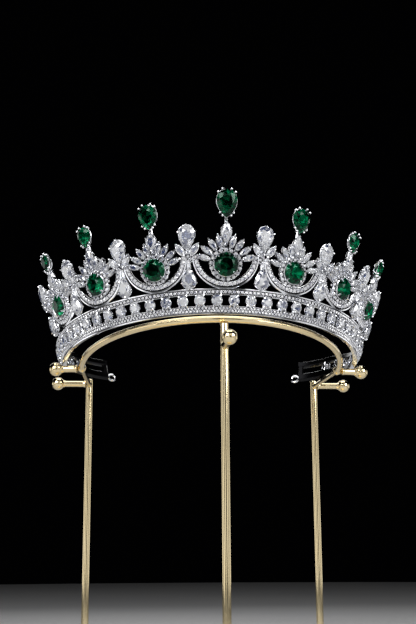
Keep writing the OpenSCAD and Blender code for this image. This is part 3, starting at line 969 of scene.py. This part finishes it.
def stone_fields(clear):
    """The leaf stones and the stones of the band, each kind as one piece."""
    leaves = Shape()
    for i in MOTIFS:
        share = motif_share(i)
        solid = brilliant(leaf_outline(LEAF_WIDTH * share, LEAF_LENGTH * share), LEAF_WIDTH)
        leaves.add_copies(solid, fan_leaf_places(i))
    solid = brilliant(leaf_outline(LEAF_WIDTH, LEAF_LENGTH), LEAF_WIDTH)
    for i in SPACERS:
        leaves.add_copies(solid, spacer_leaf_places(i))
    leaves.piece("cut_leaf_stones", [clear], ["leaf_stones"])
    rounds = Shape()
    rounds.add_copies(brilliant(round_outline(BAND_STONE_D), BAND_STONE_D), band_stone_places())
    rounds.piece("cut_band_stones", [clear], ["band_stones"])


# Stand


def stand_piece(name, solids, metal):
    """A piece of the stand in the place of the solid of its name."""
    shape = Shape()
    for solid, matrix in solids:
        shape.add(*solid, matrix)
    shape.piece("turned_" + name, [metal], [name], smooth=40)


def rail_solids():
    """Horseshoe with a knuckle at each end and an arm back to the rear post, soldered at both ends."""
    t = np.linspace(np.pi, 2 * np.pi, 121)
    x, y = RAIL_R * np.cos(t), RAIL_R * np.sin(t)
    level = PEG_HEIGHT + RAIL_SIDE_Z
    arc = np.column_stack([x, RAIL_BACK + y * math.cos(RAIL_TILT), level - y * math.sin(RAIL_TILT)])
    yield tube(arc, ROD_D / 2, 20), np.eye(4)
    rear_y = REAR_POST_Y - POST_D / 2 - SEAT_GAP
    for side in (-1, 1):
        corner = np.array([side * RAIL_R, RAIL_BACK, level])
        rear = np.array([side * (REAR_POST_X + 0.2), rear_y, PEG_HEIGHT + ARM_REAR_Z])
        run, r = np.linalg.norm(rear - corner), ARM_D / 2
        yield ball(KNUCKLE_R, 32, 17), moved(*corner)
        yield lathe([(1.7, 0.6), (1.6, 1.6), (1.25, 2.6), (r, 3.6), (r, run - 1.6), (r + 0.22, run - 0.6),
                     (r + 0.45, run)], 28), aimed(corner, rear)


def post_solids(x, y, top):
    """Upright rod on a turned foot, its top edge rounded."""
    r, low = POST_D / 2, BASE_HEIGHT + SEAT_GAP
    yield lathe([(FOOT_R - 0.4, low), (FOOT_R, low + 0.35), (FOOT_R, low + 1.3), (FOOT_R - 0.4, low + 1.9),
                 (r + 1.1, low + 2.2), (r + 0.5, low + 2.6), (r, low + 3.0),
                 (r, top - 0.4), (r - 0.12, top - 0.12), (r - 0.4, top)]), moved(x, y)


def peg_solids(start, end):
    """Short rod with a ball on its far end and a soldered collar at its root and neck."""
    r, run, neck = ROD_D / 2, math.dist(start, end), BALL_D / 2
    root = [(r - 0.1, 0), (r + 0.28, 0.12), (r + 0.3, 0.6), (r + 0.08, 1.0), (r, 1.4)]
    collar = [(r, run - neck - 0.6), (r + 0.12, run - neck - 0.3), (r + 0.3, run - neck + 0.1),
              (r + 0.35, run - neck + 0.7)]
    yield lathe(root + collar, 40), aimed(start, end)
    yield ball(BALL_D / 2, 48, 31), aimed(start, end) @ moved(0, 0, run)


def stand(metal, foot_metal):
    """The horseshoe, three posts, five pegs and the round foot."""
    z = PEG_HEIGHT
    stand_piece("rest_rail", rail_solids(), metal)
    stand_piece("front_post", post_solids(0, FRONT_POST_Y, node_box("front_post")[1][2]), metal)
    front_root = (0, FRONT_POST_Y - POST_D / 2 - SEAT_GAP, z)
    stand_piece("front_peg", peg_solids(front_root, (0, FRONT_BALL_Y, z)), metal)
    for side, name in ((-1, "left"), (1, "right")):
        top = node_box("rear_post_" + name)[1][2]
        stand_piece("rear_post_" + name, post_solids(side * REAR_POST_X, REAR_POST_Y, top), metal)
        root = (side * (REAR_POST_X + POST_D / 2 + SEAT_GAP), REAR_POST_Y, z)
        stand_piece("rear_peg_" + name, peg_solids(root, (side * REAR_BALL_X, REAR_POST_Y, z)), metal)
        root = (side * (RAIL_R + KNUCKLE_R + 2 * SEAT_GAP), RAIL_BACK, z)
        stand_piece("side_peg_" + name, peg_solids(root, (side * SIDE_BALL[0], SIDE_BALL[1], z)), metal)
    foot = [(0.5, 0), (BASE_R - 0.7, 0), (BASE_R, 0.5), (BASE_R, BASE_HEIGHT - 1.2),
            (BASE_R - 0.18, BASE_HEIGHT - 0.6), (BASE_R - 0.6, BASE_HEIGHT - 0.18),
            (BASE_R - 1.2, BASE_HEIGHT), (0.5, BASE_HEIGHT)]
    stand_piece("stand_base", [(lathe(foot, 160), np.eye(4))], foot_metal)


# Materials

# Scales of a metal's clouding, uneven polish and rub marks, and the marks' depth in metres
CLOUD_SCALE, POLISH_SCALE, RUB_SCALE, RUB_DEPTH = 60, 220, 900, 0.00005
# Range of a noise's values that is spread between two others
NOISE_LOW, NOISE_HIGH = 0.3, 0.7
# Two facets differ in their painted sparkle colour where their directions differ by more than this
FACET_STEP = 0.02


def set_inputs(tree, node, inputs):
    """Sets each named socket of a node to a value, or links it to another node's output."""
    for socket, source in inputs.items():
        if isinstance(source, bpy.types.NodeSocket):
            tree.links.new(source, node.inputs[socket])
        else:
            node.inputs[socket].default_value = source


def add_node(tree, kind, inputs, **options):
    """A node with its options and sockets set."""
    node = tree.nodes.new("ShaderNode" + kind)
    for option, value in options.items():
        setattr(node, option, value)
    set_inputs(tree, node, inputs)
    return node


def new_material(name):
    """A material and its node tree."""
    material = bpy.data.materials.new(name)
    material.use_nodes = True
    return material, material.node_tree


def noise_between(tree, scale, low, high, detail=4.0):
    """Noise in the object's own coordinates, spread between two values."""
    spot = add_node(tree, "TexCoord", {}).outputs["Object"]
    noise = add_node(tree, "TexNoise", {"Vector": spot, "Scale": scale, "Detail": detail})
    return add_node(tree, "MapRange", {
        "Value": noise.outputs["Fac"], "From Min": NOISE_LOW, "From Max": NOISE_HIGH,
        "To Min": low, "To Max": high}).outputs["Result"]


def colour_between(tree, share, first, second):
    """A colour between two others, by a share that comes from another node."""
    inputs = {"Factor": share, "A": (*first, 1), "B": (*second, 1)}
    return add_node(tree, "Mix", inputs, data_type="RGBA").outputs["Result"]


def polished_metal(name, first, second, roughness, rub):
    """Polished metal with faint clouding, uneven polish and fine rub marks."""
    material, tree = new_material(name)
    marks = noise_between(tree, RUB_SCALE, 0, 1, 6.0)
    relief = add_node(tree, "Bump", {"Height": marks, "Strength": rub, "Distance": RUB_DEPTH})
    set_inputs(tree, tree.nodes["Principled BSDF"], {
        "Metallic": 1.0,
        "Base Color": colour_between(tree, noise_between(tree, CLOUD_SCALE, 0, 1), first, second),
        "Roughness": noise_between(tree, POLISH_SCALE, *roughness),
        "Normal": relief.outputs["Normal"]})
    return material


def painted_facet_sparkle(tree):
    """A chance value for each facet, taken from the way the facet faces; it sets the facet's painted
    sparkle.
    """
    facing = add_node(tree, "NewGeometry", {}).outputs["True Normal"]
    steps = add_node(tree, "VectorMath", {0: facing, 1: (FACET_STEP,) * 3}, operation="SNAP")
    return add_node(tree, "TexWhiteNoise", {"Vector": steps.outputs["Vector"]}).outputs["Value"]


def painted_inner_sparkle(tree, grain):
    """Chance values of small angular fields inside the stone, painted as inner sparkle."""
    spot = add_node(tree, "TexCoord", {}).outputs["Object"]
    fields = add_node(tree, "TexVoronoi", {"Vector": spot, "Scale": grain})
    return add_node(tree, "RGBToBW", {"Color": fields.outputs["Color"]}).outputs["Val"]


def cut_gem(name, colours, change, grain, sockets):
    """Cut stone; facets and inner fields of scale grain run between two colours over the range change, as
    painted sparkle: dark and bright reflections.
    """
    material, tree = new_material(name)
    both = add_node(tree, "Math", {0: painted_facet_sparkle(tree), 1: painted_inner_sparkle(tree, grain)}, operation="ADD")
    share = add_node(tree, "MapRange", {
        "Value": both.outputs["Value"], "From Min": change[0], "From Max": change[1]}).outputs["Result"]
    set_inputs(tree, tree.nodes["Principled BSDF"], {
        "Base Color": colour_between(tree, share, *colours), "Roughness": 0.0, **sockets})
    return material


def bright_silver():
    """Bright plated metal of the crown."""
    return polished_metal("bright_silver", (0.74, 0.75, 0.79), (0.86, 0.87, 0.90), (0.08, 0.18), 0.06)


def painted_shade_silver():
    """Darkened metal as painted shade: the beds between the stones and the rear ends' inner faces, which lie
    in shadow.
    """
    return polished_metal("painted_shade_silver", (0.005, 0.005, 0.006), (0.011, 0.011, 0.012), (0.16, 0.24), 0.03)


def satin_gold():
    """Brushed pale gold of the round foot."""
    return polished_metal("satin_gold", (0.76, 0.61, 0.35), (0.80, 0.66, 0.39), (0.34, 0.42), 0.02)


def pale_gold():
    """Polished pale gold of the rods and balls."""
    return polished_metal("pale_gold", (0.80, 0.65, 0.38), (0.84, 0.70, 0.43), (0.085, 0.115), 0.006)


def clear_gem():
    """Large and middling clear stones, with painted dark and bright facets standing in for reflections."""
    return cut_gem("clear_gem", ((0.05, 0.07, 0.17), (0.97, 0.98, 1.0)), (0.55, 0.98), 900,
                   {"Transmission Weight": 0.7, "IOR": 2.2})


def seed_gem():
    """Pave stones, brighter and less deep than the large ones, with painted sparkle on their facets."""
    return cut_gem("seed_gem", ((0.34, 0.35, 0.44), (0.98, 0.98, 1.0)), (0.4, 1.2), 900,
                   {"Transmission Weight": 0.4, "IOR": 2.2})


def green_gem():
    """The drops and the round green stones of the sides, with painted dark and green facets standing in for
    reflections.
    """
    return cut_gem("green_gem", ((0.0, 0.004, 0.002), (0.002, 0.22, 0.085)), (0.7, 1.6), 500,
                   {"Transmission Weight": 0.8, "IOR": 1.55, "Specular IOR Level": 0.06,
                    "Specular Tint": (0.3, 0.5, 0.4, 1)})


def deep_green_gem():
    """The middle round green stone, the darkest one, with painted dark and green facets standing in for
    reflections.
    """
    return cut_gem("deep_green_gem", ((0.0, 0.002, 0.001), (0.001, 0.16, 0.06)), (0.8, 1.6), 600,
                   {"Transmission Weight": 0.9, "IOR": 1.55, "Specular IOR Level": 0.06,
                    "Specular Tint": (0.2, 0.4, 0.3, 1)})


def pale_floor():
    """Plain matt floor with faint clouding."""
    material, tree = new_material("pale_floor")
    colour = colour_between(tree, noise_between(tree, 4, 0, 1), (0.54, 0.54, 0.55), (0.58, 0.58, 0.58))
    set_inputs(tree, tree.nodes["Principled BSDF"], {"Base Color": colour, "Roughness": 0.6})
    return material


# Stage, lights and camera, in metres

FLOOR_RADIUS = 2.4
CROWN_MIDDLE, OVERHEAD = (0, 0, 0.19), (0, 0, 0.5)
# Name, place, aim, width and height, watts and spread in degrees of each soft panel. The low ones are
# narrow and aimed upward, which keeps their light off the floor at their foot.
LIGHTS = (
    ("key_left", (-0.55, -0.7, 0.6), CROWN_MIDDLE, (0.5, 0.5), 5.2, 150),
    ("key_right", (0.6, -0.55, 0.5), CROWN_MIDDLE, (0.45, 0.45), 3.9, 150),
    ("front_soft", (0.0, -1.5, 0.9), CROWN_MIDDLE, (1.8, 0.8), 2.6, 150),
    ("strip_left", (-0.95, -0.5, 0.32), OVERHEAD, (0.55, 0.6), 0.24, 70),
    ("strip_right", (1.0, -0.3, 0.32), OVERHEAD, (0.55, 0.6), 0.15, 70),
    ("low_left", (-0.42, -1.4, 0.26), OVERHEAD, (0.7, 0.48), 0.2, 70),
    ("low_right", (0.8, -1.2, 0.26), OVERHEAD, (0.7, 0.48), 0.2, 70),
    ("rim_left", (-1.04, 0.38, 0.3), OVERHEAD, (0.6, 0.55), 0.24, 70),
    ("rim_right", (1.0, 0.46, 0.3), OVERHEAD, (0.6, 0.55), 0.24, 70),
    ("top", (0, 0.05, 0.95), CROWN_MIDDLE, (0.7, 0.7), 4, 180),
    ("back", (0.0, 0.9, 0.6), CROWN_MIDDLE, (0.8, 0.4), 1.5, 180))
NEAR_BLACK = (0.0004, 0.0004, 0.0005, 1)
# The camera's place, and the directions of its right side, its top and its back
CAMERA_AT = (-0.04749, -0.49067, 0.08073)
CAMERA_RIGHT = (0.99570, -0.09242, -0.00586)
CAMERA_UP = (-0.01486, -0.22200, 0.97493)
CAMERA_BACK = (-0.09140, -0.97066, -0.22243)
FOCAL_LENGTH, SENSOR_WIDTH = 60.58, 36.0


def add_floor():
    """Round floor under the stand."""
    bpy.ops.mesh.primitive_circle_add(vertices=96, radius=FLOOR_RADIUS, fill_type="NGON", location=(0, 0, 0))
    floor = bpy.context.object
    floor.name = "floor"
    floor.data.materials.append(pale_floor())


def area_light(name, at, to, size, watts, spread):
    """Soft panel aimed at a place."""
    data = bpy.data.lights.new(name, "AREA")
    data.shape = "RECTANGLE"
    data.size, data.size_y = size
    data.energy = watts
    data.spread = math.radians(spread)
    lamp = new_object(name, data)
    lamp.location = at
    lamp.rotation_mode = "QUATERNION"
    lamp.rotation_quaternion = (Vector(to) - Vector(at)).to_track_quat("-Z", "Y")


def add_lights():
    """The soft panels and a nearly black studio round them."""
    for light in LIGHTS:
        area_light(*light)
    world = bpy.data.worlds.new("studio")
    world.use_nodes = True
    set_inputs(world.node_tree, world.node_tree.nodes["Background"], {"Color": NEAR_BLACK, "Strength": 1.0})
    bpy.context.scene.world = world
    bpy.context.scene.view_settings.view_transform = "Standard"


def add_camera():
    """The camera, low in front of the crown and a little to its left."""
    data = bpy.data.cameras.new("camera")
    data.lens, data.sensor_width = FOCAL_LENGTH, SENSOR_WIDTH
    data.clip_start, data.clip_end = 0.01, 20
    camera = new_object("camera", data)
    matrix = Matrix([CAMERA_RIGHT, CAMERA_UP, CAMERA_BACK]).transposed().to_4x4()
    matrix.translation = CAMERA_AT
    camera.matrix_world = matrix
    bpy.context.scene.camera = camera


silver, painted_shade, satin, gold = bright_silver(), painted_shade_silver(), satin_gold(), pale_gold()
clear, seed_clear, green, deep = clear_gem(), seed_gem(), green_gem(), deep_green_gem()

band_metal([silver, painted_shade])
motif_metal([silver, painted_shade])
spacer_metal([silver, painted_shade])
seed_beads(silver)
seed_stones(seed_clear)
stone_fields(clear)
single_stones(clear, green, deep)
stand(gold, satin)
add_floor()
add_lights()
add_camera()
